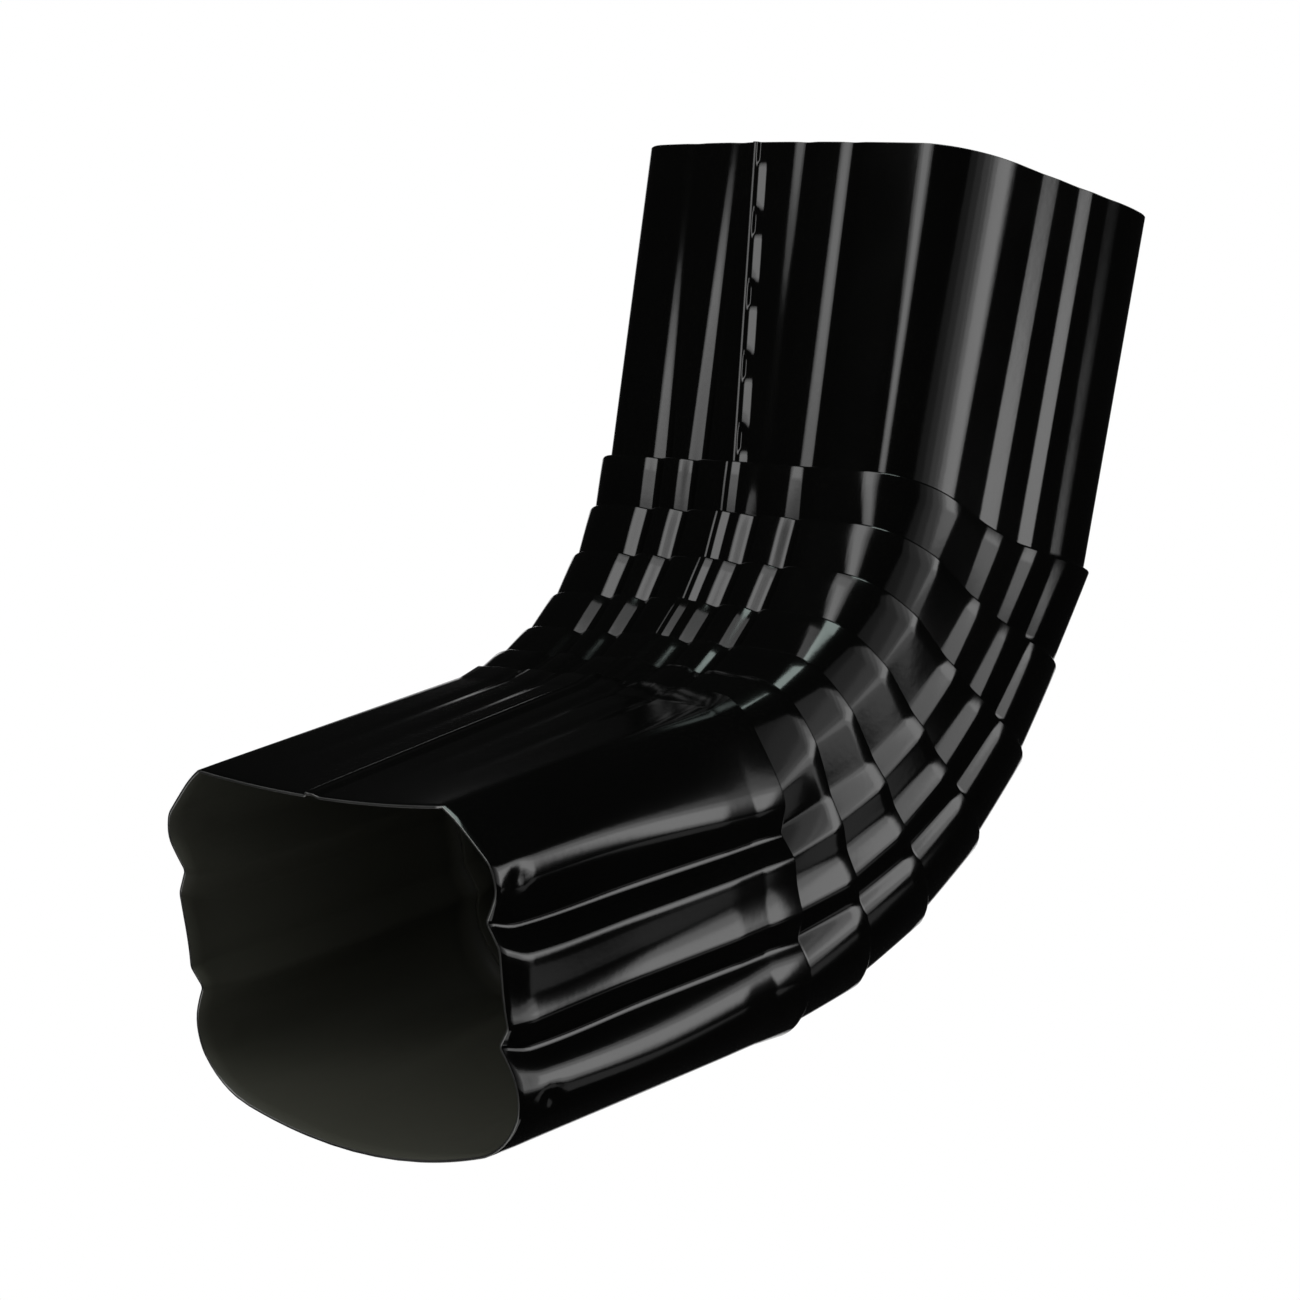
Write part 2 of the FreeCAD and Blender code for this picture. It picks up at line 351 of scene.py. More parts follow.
        w, place = self.throat_width * self.groove_rows, Size.SEAM_PLACE.of(s)
        first, second, third, fourth = (row[:, None] for row in Size.THROAT_PLACES.of(s).T)
        before, start, end = (place + stop for stop in self.seam_stops)
        stops = [-reach, first - w, first + w, second - w, np.minimum(second + w, before), start,
                 end, third - w, third + w, fourth - w, fourth + w, reach]
        y = self.spread(stops, self.throat_counts)
        rise = self.throat(y, s) + seam_height * self.seam(y, place)
        add(half + rise, y, np.ones_like(y), np.zeros_like(y),
            seam_height * self.pressed(y, place))
        t_side, y_side, face = self.side(s)
        add(t_side, y_side, face, 1 - np.abs(face), none)
        w = self.heel_width * self.groove_rows
        near, far = (np.full_like(half, self.heel_place + side) for side in (-w, w))
        y = self.spread([reach, far, near, -near, -far, -reach], self.heel_counts)
        add(-half - self.heel(y, s), y, -np.ones_like(y), np.zeros_like(y), none)
        add(t_side[:, ::-1], -y_side[:, ::-1], face[:, ::-1], np.abs(face[:, ::-1]) - 1, none)
        return {name: np.concatenate(parts, axis=1) for name, parts in lines.items()}


@dataclass(frozen=True)
class PaintedSheet:
    """Sizes of the folded sheet and its pleats, and the way its rings are carried to a mesh.

    Args:
        sheet: thickness.
        bend: whole turn in degrees.
        throat_radius: radius of the bend at the throat face.
        inlet_leg: length of the inlet leg.
        outlet_leg: length of the outlet leg.
        crimps: number of pleats.
        step: degrees between them.
        fold_throat: overlap of a pleat at the throat.
        fold_heel: the same at the heel.
        gap: open gap under a lip.
        proud: how far a lip stands out.
        flap: slope of the tucked sheet at the throat, in degrees.
        lead: how far the first lip runs upstream at the throat.
        seam_length: length of the inlet leg along the seam, down to the first lip.
        lead_start: share of the depth from the heel at which that begins.
        lip_round: radius of a folded lip.
        lip_rows: number of rings round it.
        lip_flat: how far a band has run downstream before its lip turns.
        tip_round: how far the tips of a fold inside the tube are drawn back.
        band_rows: rows of one band outside, and inside.
        band_bulge: how far a band's middle stands out.
        stitch_pitch: distance between the seam's pressed stitches.
        stitch_first: place of the first one below the inlet rim.
        stitch_long: length of a stitch.
        stitch_rows: number of rows at a stitch.
        stitch_spread: share of its length over which they lie, to each side.
        inlet_rows: number of even rows of the inlet leg, less those too near a stitch.
        inlet_clear: how near they may come to its middle, over the spread of its own rows.
        rim_round: size of the rounded cut edges.
        leg_rows: number of rings of the outlet leg outside, and inside.
        leg_start: share of the outlet leg at which its own section stands.
        swage_start: the same for the section in its middle.
        collar_start: the same for the section just before its rim.
        outline: the way from a section to a line of points.
        inlet: section of the whole inlet leg.
        first: section at the first pleat.
        upper: section from which those of the pleats in the middle start.
        lower: section towards which they go.
        leg: section at the last pleat and the start of the outlet leg.
        swage: section in the outlet leg's middle.
        collar: section just before the outlet rim.
        mouth: section at the outlet rim.
    """

    sheet: float = 0.5
    bend: float = 67.7
    throat_radius: float = 46.5
    inlet_leg: float = 61.7
    outlet_leg: float = 65.8
    crimps: int = 7
    step: float = 10.3
    fold_throat: float = 5.5
    fold_heel: float = 1.1
    gap: float = 0.4
    proud: float = 0.9
    flap: float = 13.5
    lead: float = 5.0
    seam_length: float = 64.1
    lead_start: float = 0.45
    lip_round: float = 0.45
    lip_rows: int = 7
    lip_flat: float = 1.2
    tip_round: float = 0.3
    band_rows: tuple[int, int] = (6, 4)
    band_bulge: float = 0.12
    stitch_pitch: float = 13.25
    stitch_first: float = 1.65
    stitch_long: float = 5.4
    stitch_rows: int = 9
    stitch_spread: float = 0.6
    inlet_rows: int = 26
    inlet_clear: float = 1.2
    rim_round: float = 0.1
    leg_rows: tuple[int, int] = (46, 20)
    leg_start: float = 0.04
    swage_start: float = 0.5
    collar_start: float = 0.91
    outline: Outline = Outline()
    inlet: Section = Section(
        width=82.9, depth=62.5, crowns=(1.5, 1.5), seam=(-5.8, 0.62),
        throat=(-21.9, -10.4, 5.7, 16.6), cuts=(0.35, 0.5, 0.6, 0.55, 1.5),
        lengths=(1.5, 2.6, 4.5, 7.5, 4.5, 0.8, 6.5, 1.0, 4.0, 0.8, 5.0, 1.0, 3.2, 0.8, 3.8, 1.0,
                 2.8, 1.0, 7.5, 8.0, 5.1),
        tilts=(84, 78, 60, 36, 9, 1, -2.5, -3, 3.2, 3.2, -3, -3, 4.6, 4.6, -3.5, -3.5, 2.4, 2.2,
               -3, -15, -60, -88))
    first: Section = Section(
        width=81.1, depth=61.5, crowns=(0.8, 1.0), seam=(-0.5, 0.62),
        throat=(-19.6, -10.6, 7.1, 16.8), cuts=(1.3, 1.4, 0.1, 0.7, 2.4),
        lengths=(1.2, 3.0, 4.0, 7.5, 3.6, 0.8, 7.0, 1.0, 4.0, 0.8, 5.6, 1.0, 3.0, 0.8, 4.6, 1.0,
                 2.6, 1.0, 6.5, 7.5, 5.1),
        tilts=(84, 80, 60, 36, 9, 1, -3, -3, 4, 4, -4, -4, 5.5, 5.5, -4, -4, 3.4, 3, -3, -15,
               -60, -88))
    upper: Section = replace(
        first, cuts=(1.3, 1.4, 1.2, 1.3, 2.4),
        lengths=(1.8, 3.9, 4.3, 5.8, 2.0, 1.1, 9.3, 1.4, 1.8, 1.2, 5.8, 1.2, 2.0, 1.2, 5.2, 1.2,
                 1.0, 1.4, 5.4, 10.0, 4.1),
        tilts=(84, 78, 56, 27, 15, 0, -3, -3, 6, 7, -4, -4, 4, 5, -6, -6, 8, 6, -3, -15, -48,
               -84))
    lower: Section = replace(
        first, cuts=(1.3, 1.4, 1.3, 1.3, 2.4),
        lengths=(1.9, 3.0, 4.6, 5.7, 2.2, 1.4, 6.5, 1.7, 4.5, 1.4, 3.0, 2.6, 3.8, 1.4, 3.1, 1.6,
                 1.6, 2.0, 4.6, 8.9, 5.3),
        tilts=(84, 78, 54, 25, 14, 2, 0.5, -2, 9, 11, -10, -10, 6, 9, -14, -14, 12, 9, -5, -16,
               -44, -82))
    leg: Section = replace(
        first, cuts=(0.5, 0.5, 0.5, 0.5, 2.0),
        lengths=(3.1, 1.6, 4, 9.1, 3.1, 1.6, 4.2, 1.3, 3.7, 1.2, 2.4, 2.6, 3.8, 1.2, 4.2, 1.5,
                 1.8, 3.1, 2.6, 8.8, 6.5),
        tilts=(70, 54, 36, 25, 20, 3, -20, -22, 30, 30, -6, -5, 2, 9, -24, -24, 28, 22, 2, -12,
               -45, -82))
    swage: Section = replace(
        first, width=81.0, depth=60.8, crowns=(-0.4, 2.7), seam=(-1.3, 0.7),
        cuts=(0.15, 0.15, 0.15, 0.15, 0.6),
        lengths=(0.2, 4.6, 5.1, 4.9, 2.7, 2, 6.1, 1.4, 4.1, 1.4, 4.5, 2, 2.4, 1.2, 4.1, 1.4, 3.6,
                 3.5, 2.4, 4.5, 9.9),
        tilts=(74, 58, 44, 32, 22, 3, -18, -20, 31, 31, -6, -6, 2, 9, -22, -22, 32, 27, 2, -14,
               -42, -78))
    collar: Section = replace(
        first, width=80.8, depth=60.2, crowns=(-1.3, 3.9), seam=(-1.9, 0.5),
        cuts=(0.0, 0.0, 0.0, 0.0, 0.1),
        lengths=(1, 4.8, 6.2, 2.1, 2.6, 2.2, 6.2, 1.1, 4.2, 1.7, 5, 2.4, 2.2, 1.2, 3.9, 1.4, 3.2,
                 2.9, 2.7, 3.7, 11),
        tilts=(78, 56, 44, 42, 20, 3, -20, -22, 31, 30, -5, -6, 1, 7, -26, -26, 32, 27, 3, -14,
               -34, -74))
    mouth: Section = replace(
        first, width=80.8, depth=60.0, crowns=(-1.6, 4.4), seam=(-2.1, 0.5),
        cuts=(0.0, 0.0, 0.0, 0.0, 0.0),
        lengths=(0.3, 5.4, 6.5, 1.9, 2.5, 2.7, 4.2, 1.1, 3.4, 1.5, 4.4, 4.6, 3.2, 1.3, 2.8, 1.1,
                 3.8, 3.7, 3.8, 1.8, 11.7),
        tilts=(78, 58, 46, 44, 18, 4, -28, -34, 29, 28, -3, -4, 0, 5, -36, -38, 31, 24, 2, -16,
               -30, -70))

    def band_row(self, index: int) -> np.ndarray:
        """Section at a pleat of the bend.

        Args:
            index: number of the pleat from the inlet side.

        Returns:
            the first one's or the leg's own row at the ends, and between them a straight mix
            from the upper section at the second pleat to the lower at the last but one.
        """
        share = (index - 1) / (self.crimps - 3)
        mixed = self.upper.row() * (1 - share) + self.lower.row() * share
        ends = {0: self.first.row(), self.crimps - 1: self.leg.row()}
        return ends.get(index, mixed)

    def seam_rows(self) -> tuple[float, ...]:
        """Rows of the inlet leg from rim to first lip, close together at the stitches.

        A stitch lies at its place over the length of the leg along the seam, and its rows
        spread half a stitch and a little more to both sides.

        Returns:
            the rows' places from 0 at the rim to 1 at the lip.
        """
        middles = np.array(self.stitches())[:, None] / self.seam_length
        half = self.stitch_spread * self.stitch_long / self.seam_length
        close = (middles + half * np.linspace(-1, 1, self.stitch_rows)).ravel()
        wide = np.linspace(0, 1, self.inlet_rows + 1)[1:]
        far = wide[np.abs(wide - middles).min(axis=0) > self.inlet_clear * half]
        rows = np.sort(np.concatenate([close, far]))
        return tuple(rows[(rows > 0) & (rows <= 1)].tolist())

    def stitches(self) -> list[float]:
        """Places of the pressed stitches below the inlet rim."""
        count = 1 + int((self.inlet_leg - self.stitch_first) // self.stitch_pitch)
        return [self.stitch_first + self.stitch_pitch * k for k in range(count)]

    def crimp_rings(self, index: int) -> tuple[list[Ring], list[Ring]]:
        """Outer and inner rings of one pleat, in downstream order.

        The outer skin goes in under the lip, turns back at the tip of the fold and comes out
        round the lip on a half circle: ahead = r (1 - cos a), proud = top - r + r sin a.

        Args:
            index: number of the pleat from the inlet side.

        Returns:
            the outer rings and the inner rings.
        """
        degrees = self.bend / 2 + (index - (self.crimps - 1) / 2) * self.step
        lead = self.lead * max(0.0, 1 - index / (self.crimps // 2 + 1))
        tuck = self.proud - self.gap - 2 * self.sheet
        row, r, tip = self.band_row(index), self.lip_round, self.tip_round
        base = {"degrees": degrees, "leg": 0.0, "section": row, "lip": 1.0, "lead": lead}
        folded = {**base, "deep": 1.0, "sink": 1.0}
        rows = () if index else self.seam_rows()
        bulge = self.band_bulge if index else 0.0
        outside, inside = self.band_rows
        outer = [
            Ring(**folded, ahead=-self.sheet, proud=tuck, steps=outside, shares=rows, bulge=bulge),
            Ring(**base, ahead=self.lip_flat, proud=self.proud - 2 * r),
        ]
        for a in np.radians(np.linspace(-90, 90, self.lip_rows)):
            outer.append(Ring(**base, ahead=r * (1 - math.cos(a)),
                              proud=self.proud - r + r * math.sin(a)))
        inner = [
            Ring(**folded, inner=1.0, ahead=-tip, layer=-self.sheet, proud=tuck, steps=inside,
                 shares=rows),
            Ring(**folded, inner=1.0, layer=-self.sheet / 2, proud=tuck + self.sheet / 2),
            Ring(**folded, inner=1.0, ahead=-tip, proud=tuck + self.sheet),
            Ring(**base, inner=1.0, ahead=self.sheet, layer=-self.sheet, proud=self.proud,
                 steps=2),
        ]
        return outer, inner

    def leg_rings(self, count: int, **settings: float) -> list[Ring]:
        """Rings down the outlet leg, whose sizes run smoothly through the leg's sections.

        Between two stations, l apart and with slopes m and n, the sizes at share w are the
        cubic (2w^3 - 3w^2 + 1) p + (w^3 - 2w^2 + w) l m + (3w^2 - 2w^3) q + (w^3 - w^2) l n. A
        station's slope is that of the straight line through its two neighbours.

        Args:
            count: number of rings.
            settings: further settings of every ring.

        Returns:
            the rings, evenly spaced, without the one at the rim.
        """
        places = np.array([self.leg_start, self.swage_start, self.collar_start, 1.0])
        rows = np.array([part.row() for part in (self.leg, self.swage, self.collar, self.mouth)])
        ends = np.array([[0, 1], [0, 2], [1, 3], [2, 3]])
        slopes = (rows[ends[:, 1]] - rows[ends[:, 0]]) / np.diff(places[ends])
        shares = np.linspace(self.leg_start, 1.0, count + 1)[:-1]
        k = np.searchsorted(places, shares, side="right") - 1
        span = (places[k + 1] - places[k])[:, None]
        w = (shares - places[k])[:, None] / span
        mixed = ((2 * w ** 3 - 3 * w ** 2 + 1) * rows[k] + (3 * w ** 2 - 2 * w ** 3) * rows[k + 1]
                 + (w ** 3 - 2 * w ** 2 + w) * span * slopes[k]
                 + (w ** 3 - w ** 2) * span * slopes[k + 1])
        return [Ring(self.bend, self.outlet_leg * share, row, **settings)
                for share, row in zip(shares, mixed)]

    def outer_rings(self) -> list[Ring]:
        """All rings of the outer skin.

        Returns:
            the rings from the inlet rim to the outlet rim.
        """
        inlet, mouth, rim = self.inlet.row(), self.mouth.row(), self.rim_round
        rings = [Ring(0.0, -self.inlet_leg, inlet, layer=-rim, cut=1.0),
                 Ring(0.0, -self.inlet_leg, inlet, ahead=rim, cut=1.0)]
        for index in range(self.crimps):
            rings += self.crimp_rings(index)[0]
        return rings + [
            *self.leg_rings(self.leg_rows[0]),
            Ring(self.bend, self.outlet_leg, mouth, ahead=-rim, cut=1.0),
            Ring(self.bend, self.outlet_leg, mouth, layer=-rim, cut=1.0),
        ]

    def inner_rings(self) -> list[Ring]:
        """All rings of the inner skin.

        Returns:
            the rings from the inlet rim to the outlet rim.
        """
        inlet, mouth, rim, t = self.inlet.row(), self.mouth.row(), self.rim_round, self.sheet
        edge = {"inner": 1.0, "cut": 1.0}
        rings = [Ring(0.0, -self.inlet_leg, inlet, layer=-t + rim, **edge),
                 Ring(0.0, -self.inlet_leg, inlet, layer=-t, ahead=rim, **edge)]
        for index in range(self.crimps):
            rings += self.crimp_rings(index)[1]
        return rings + [
            *self.leg_rings(self.leg_rows[1], layer=-t, inner=1.0),
            Ring(self.bend, self.outlet_leg, mouth, layer=-t, ahead=-rim, **edge),
            Ring(self.bend, self.outlet_leg, mouth, layer=-t + rim, **edge),
        ]

    def stack(self, rings: list[Ring], name: str) -> np.ndarray:
        """The value of that name of every ring, as a column."""
        return np.array([getattr(ring, name) for ring in rings])[:, None]

    def place(self, rings: list[Ring]) -> tuple[np.ndarray, np.ndarray]:
        """Carry rings into space, all at once.

        A ring's frame stands at (R (1 - cos a), 0, -L - R sin a) with the throat towards
        (cos a, 0, sin a) and downstream (sin a, 0, -cos a). A point stands out by its layer
        along the section's own normal and by proud less sink along its side, and goes
        downstream by leg, ahead, and its shares of lip line and overlap.

        Args:
            rings: rings in order.

        Returns:
            points of rings by points by 3, and each point's seam share.
        """
        sections = np.array([ring.section for ring in rings])
        line = self.outline.points(sections)
        t, y = line["t"], line["y"]
        share = np.clip(t / Size.DEPTH.of(sections) + 0.5, 0.0, 1.0)
        dt = np.roll(t, -1, 1) - np.roll(t, 1, 1)
        dy = np.roll(y, -1, 1) - np.roll(y, 1, 1)
        size = np.hypot(dt, dy)
        layer = self.stack(rings, "layer")
        overlap = self.fold_heel + (self.fold_throat - self.fold_heel) * share
        slope = overlap * np.tan(np.radians(self.flap * share))
        out = self.stack(rings, "proud") - self.stack(rings, "sink") * slope
        lip = -self.stack(rings, "lead") * smooth((share - self.lead_start)
                                                  / (1 - self.lead_start))
        ahead = (self.stack(rings, "leg") + self.stack(rings, "ahead")
                 + self.stack(rings, "lip") * lip + self.stack(rings, "deep") * overlap)
        t = t + layer * dy / size + out * line["out_t"]
        y = y - layer * dt / size + out * line["out_y"]
        angle = np.radians(self.stack(rings, "degrees"))
        radius = self.throat_radius + self.upper.depth / 2
        c, s = np.cos(angle), np.sin(angle)
        x = radius * (1 - c) + c * t + s * ahead
        z = -self.inlet_leg - radius * s + s * t - c * ahead
        return np.stack([x, y, z], axis=2), line["seam"]

    def fill(self, rings: list[Ring]) -> dict[str, np.ndarray]:
        """Add the rows between rings: straight lines from ring to ring, with a slight bulge.

        A row at share w between two rings is (1 - w) P + w Q plus 4 w (1 - w) bulge along
        the outward way of its side.

        Args:
            rings: rings in order.

        Returns:
            points, seam share, inner and cut masks, row by row.
        """
        placed, seam = self.place(rings)
        lift = self.place([replace(ring, proud=ring.proud + 1.0) for ring in rings])[0]
        way = lift - placed
        inner, cut = self.stack(rings, "inner")[:, 0], self.stack(rings, "cut")[:, 0]
        below, above, share, bulge = [0], [0], [0.0], [0.0]
        for i in range(1, len(rings)):
            steps = rings[i].steps
            for w in rings[i].shares or np.arange(1, steps + 1) / steps:
                below.append(i - 1)
                above.append(i)
                share.append(w)
                bulge.append(4 * w * (1 - w) * rings[i].bulge)
        a, b = np.array(below), np.array(above)
        w = np.array(share)[:, None, None]
        lifted = np.array(bulge)[:, None, None] * way[a]
        flat = w[:, :, 0]
        return {
            "points": placed[a] * (1 - w) + placed[b] * w + lifted,
            "seam": seam[a] * (1 - flat) + seam[b] * flat,
            "inner": np.maximum(inner[a], inner[b]),
            "cut": cut[a] * (1 - w[:, 0, 0]) + cut[b] * w[:, 0, 0],
        }


class Facing(Enum):
    """Which finish a face of the sheet has, as the number of its material."""

    OUTSIDE = 0
    INSIDE = 1
    CUT = 2


@dataclass(frozen=True)
class Elbow:
    """The whole downspout elbow, one closed sheet.

    Args:
        sheet: sizes of the folded sheet.
        stitch_depth: how deep a stitch is pressed, as a share of the seam's height.
        stitch_end: share of half a stitch over which its depth runs out.
        dimples: places of the pressed dimples on both sides of the outlet leg, each as the
            distance down the leg and the distance from the throat face.
        dimple_wide: spread of a dimple.
        dimple_depth: its depth.
        dimple_side: share of the mouth's half width beyond which the sheet counts as a side.
        cut_share: share of cut edge above which a row counts as one.
    """

    sheet: PaintedSheet = PaintedSheet()
    stitch_depth: float = 1.0
    stitch_end: float = 1 / 3
    dimples: tuple[tuple[float, float], ...] = ((60.4, 13.4), (59.0, 51.0))
    dimple_wide: float = 1.2
    dimple_depth: float = 0.65
    dimple_side: float = 0.8
    cut_share: float = 0.999

    def press(self, skin: dict[str, np.ndarray]) -> None:
        """Press the stitches into a skin's seam, in place.

        At distance a from the nearest stitch's middle the seam goes in by the depth times its
        own height times the smooth step of (half - a) / (end x half), where half is half a
        stitch.

        Args:
            skin: rows of one skin.
        """
        points, half = skin["points"], self.sheet.stitch_long / 2
        away = np.abs(-points[..., 2:3] - np.array(self.sheet.stitches())).min(axis=2)
        leg = points[:, :1, 2] > -self.sheet.inlet_leg
        share = smooth((half - away) / (self.stitch_end * half)) * skin["seam"] * leg
        points[:, :, 0] -= share * self.stitch_depth

    def dent(self, skin: dict[str, np.ndarray]) -> None:
        """Press the dimples into a skin's sides, in place.

        At distance r from a dimple's middle the side goes in by depth exp(-r^2 / (2 w^2)).

        Args:
            skin: rows of one skin.
        """
        sheet, points = self.sheet, skin["points"]
        angle = math.radians(sheet.bend)
        c, s = math.cos(angle), math.sin(angle)
        radius = sheet.throat_radius + sheet.upper.depth / 2
        x, z = points[:, :, 0] - radius * (1 - c), points[:, :, 2] + sheet.inlet_leg + radius * s
        along, deep = x * s - z * c, sheet.upper.depth / 2 - (x * c + z * s)
        far_out = np.abs(points[:, :, 1]) > self.dimple_side * sheet.mouth.width / 2
        side = np.sign(points[:, :, 1]) * far_out
        for a, d in self.dimples:
            near = ((along - a) ** 2 + (deep - d) ** 2) / (2 * self.dimple_wide ** 2)
            points[:, :, 1] -= side * self.dimple_depth * np.exp(-near)

    def skins(self) -> tuple[dict[str, np.ndarray], dict[str, np.ndarray]]:
        """Work out both skins, with stitches and dimples pressed in.

        Returns:
            rows of the outer and of the inner skin.
        """
        outer = self.sheet.fill(self.sheet.outer_rings())
        inner = self.sheet.fill(self.sheet.inner_rings())
        for skin in (outer, inner):
            self.press(skin)
            self.dent(skin)
        return outer, inner

    def mesh(self) -> bpy.types.Mesh:
        """The closed skin: outer rows downstream, inner rows back, joined round both rims.

        Vertex (row, k) joins (row + 1, k + 1) by quads over the whole grid, and the last row
        joins the first, so that the sheet closes like the wall of a ring. A face is cut edge or
        inside where both of its rows are.

        Returns:
            the mesh, in metres.
        """
        outer, inner = self.skins()
        points = np.concatenate([outer["points"], inner["points"][::-1]])
        cut = np.concatenate([outer["cut"], inner["cut"][::-1]])
        inside = np.concatenate([outer["inner"], inner["inner"][::-1]])
        rows, around = points.shape[:2]
        number = np.arange(rows * around).reshape(rows, around)
        below, beside = np.roll(number, -1, 0), np.roll(number, -1, 1)
        across = np.roll(below, -1, 1)
        quads = np.stack([number, below, across, beside], axis=2).reshape(-1, 4)
        mesh = bpy.data.meshes.new("elbow_sheet")
        mesh.vertices.add(rows * around)
        mesh.vertices.foreach_set("co", (points.reshape(-1) * MM).astype(np.float32))
        mesh.loops.add(quads.size)
        mesh.loops.foreach_set("vertex_index", quads.reshape(-1).astype(np.int32))
        mesh.polygons.add(len(quads))
        mesh.polygons.foreach_set("loop_start", np.arange(0, quads.size, 4, dtype=np.int32))
        mesh.update(calc_edges=True)
        both_cut = np.minimum(cut, np.roll(cut, -1)) > self.cut_share
        both_in = np.isclose(np.minimum(inside, np.roll(inside, -1)), 1.0)
        kind = np.where(both_cut, Facing.CUT.value,
                        np.where(both_in, Facing.INSIDE.value, Facing.OUTSIDE.value))
        mesh.polygons.foreach_set("material_index", np.repeat(kind, around).astype(np.int32))
        mesh.polygons.foreach_set("use_smooth", np.ones(len(quads), dtype=bool))
        self.unroll(mesh, points, quads)
        mesh.validate()
        return mesh

    def unroll(self, mesh: bpy.types.Mesh, points: np.ndarray, quads: np.ndarray) -> None:
        """UV map of the unrolled sheet in metres: length round the tube, length along it.

        Args:
            mesh: the sheet's mesh.
            points: its rows of points in millimetres.
            quads: its faces.
        """
        rows, around = points.shape[:2]
        round_step = np.linalg.norm(np.roll(points, -1, 1) - points, axis=2).mean(0)
        along_step = np.linalg.norm(np.roll(points, -1, 0) - points, axis=2).mean(1)
        u = np.concatenate([[0.0], np.cumsum(round_step)]) * MM
        v = np.concatenate([[0.0], np.cumsum(along_step)]) * MM
        row, col = np.divmod(quads, around)
        row[:, 1:3] = row[:, :1] + 1
        col[:, 2:4] = col[:, :1] + 1
        uv = np.stack([u[col], v[row]], axis=2).reshape(-1).astype(np.float32)
        layer = mesh.uv_layers.new(name="sheet")
        layer.data.foreach_set("uv", uv)

    def build(self) -> bpy.types.Object:
        """Make the sheet and dress it.

        Returns:
            the finished piece.
        """
        piece = bpy.data.objects.new("elbow_sheet", self.mesh())
        bpy.context.scene.collection.objects.link(piece)
        for finish in (gloss_paint(), back_coat(), cut_edge()):
            piece.data.materials.append(finish.material())
        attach(piece, "root")
        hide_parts("elbow")
        return piece


@dataclass(frozen=True)
class Grain:
    """Size of one noise.

    Args:
        scale: how many of its spots lie on a metre, about.
        detail: how many finer layers it has.
        stretch: scale along each axis of its vector, below 1 for long spots.
    """

    scale: float
    detail: float
    stretch: tuple[float, float, float] = (1.0, 1.0, 1.0)


class Nodes:
    """Short ways to place and join shader nodes in one tree."""

    def __init__(self, tree: bpy.types.NodeTree) -> None:
        """Keep the tree."""
        self.tree = tree

    def add(self, kind: str, **settings: object) -> bpy.types.Node:
        """Place a node and set its properties.

        Args:
            kind: the node's type name.
            settings: properties by name.

        Returns:
            the node.
        """
        node = self.tree.nodes.new(kind)
        for name, value in settings.items():
            setattr(node, name, value)
        return node

    def join(self, source: bpy.types.NodeSocket, target: bpy.types.NodeSocket) -> None:
        """Join two sockets."""
        self.tree.links.new(source, target)

    def maths(self, operation: str, a: object, b: object = 0.0) -> bpy.types.NodeSocket:
        """Place a math node.

        Args:
            operation: what it does with its values.
            a: first value, a socket or a number.
            b: second value, the same.

        Returns:
            the result's socket.
        """
        node = self.add("ShaderNodeMath", operation=operation)
        for socket, value in zip(node.inputs, (a, b)):
            if isinstance(value, bpy.types.NodeSocket):
                self.join(value, socket)
            else:
                socket.default_value = value
        return node.outputs[0]

    def span(self, value: bpy.types.NodeSocket, low: float, high: float, to_low: float,
             to_high: float) -> bpy.types.NodeSocket:
        """Carry a value from one range to another, clamped.

        Args:
            value: the value's socket.
            low: where the first range begins.
            high: where it ends.
            to_low: where the second range begins.
            to_high: where it ends.

        Returns:
            the result's socket.
        """
        node = self.add("ShaderNodeMapRange", clamp=True)
        self.join(value, node.inputs["Value"])
        for name, number in (("From Min", low), ("From Max", high), ("To Min", to_low),
                             ("To Max", to_high)):
            node.inputs[name].default_value = number
        return node.outputs["Result"]

    def noise(self, vector: bpy.types.NodeSocket, grain: Grain) -> bpy.types.NodeSocket:
        """Noise on a vector that is first stretched along its axes.

        Args:
            vector: the vector's socket.
            grain: size of the noise.

        Returns:
            the noise value's socket.
        """
        mapping = self.add("ShaderNodeMapping")
        mapping.inputs["Scale"].default_value = grain.stretch
        self.join(vector, mapping.inputs["Vector"])
        node = self.add("ShaderNodeTexNoise")
        node.inputs["Scale"].default_value = grain.scale
        node.inputs["Detail"].default_value = grain.detail
        self.join(mapping.outputs[0], node.inputs["Vector"])
        return node.outputs["Fac"]


